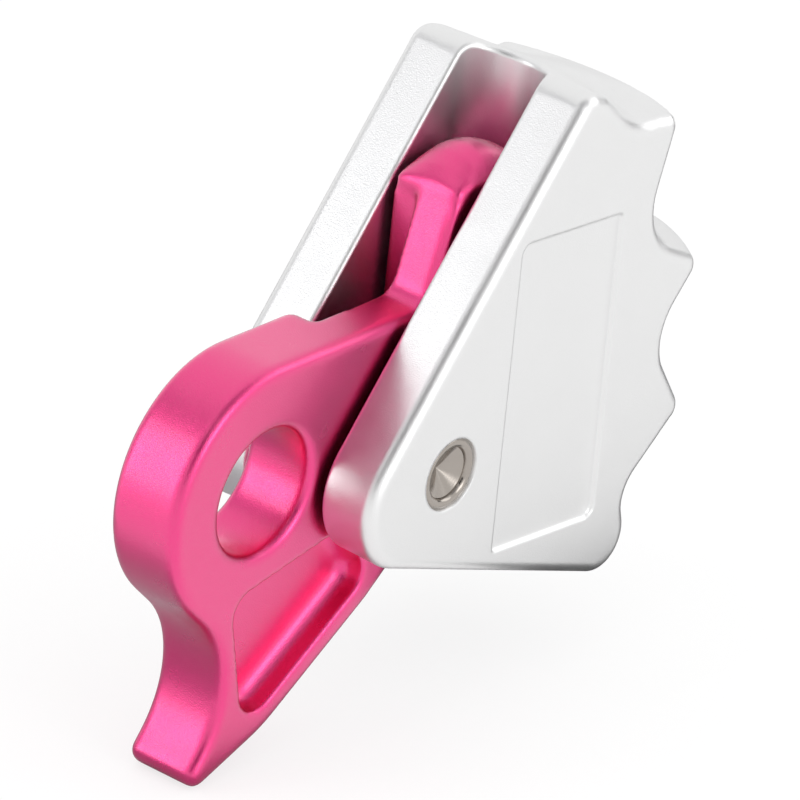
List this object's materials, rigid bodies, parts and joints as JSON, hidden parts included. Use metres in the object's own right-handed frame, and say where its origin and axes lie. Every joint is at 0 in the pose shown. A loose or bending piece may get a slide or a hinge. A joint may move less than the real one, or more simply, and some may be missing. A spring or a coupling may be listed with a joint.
{
  "type": "rope grab",
  "caption": "Open-sided rope grab: a U-shaped housing with finger grooves and a sprung cam lever with a carabiner eye and a thumb tail.",
  "frame": {"origin": "on the centre line of the rope in its groove, level with the pivot pin", "axes": "+X along the pivot pin towards the right cheek, +Y from the open front to the finger grooves, +Z along the rope towards the housing's tall end"},
  "size_m": [0.028, 0.0925, 0.0801],
  "materials": {
    "housing_aluminium": "bead-blasted and clear anodised, satin silver",
    "lever_aluminium": "bead-blasted and anodised pink, satin",
    "pin_steel": "turned stainless steel",
    "spring_steel": "drawn stainless spring wire",
    "washer_plastic": "natural acetal"
  },
  "bodies": {
    "housing": {"housing": "housing_aluminium", "pivot_pin": "pin_steel", "return_spring": "spring_steel", "left_thrust_washer": "washer_plastic", "right_thrust_washer": "washer_plastic"},
    "cam": {"cam_lever": "lever_aluminium"}
  },
  "joints": [
    {"name": "cam_pivot", "type": "hinge", "parent": "housing", "child": "cam", "pos_m": [0, -0.019, 0], "axis": [1, 0, 0], "range_deg": [0, 72], "stiffness_Nm_per_rad": 0.11, "springref_deg": -40.11, "deforming": ["return_spring"]}
  ]
}
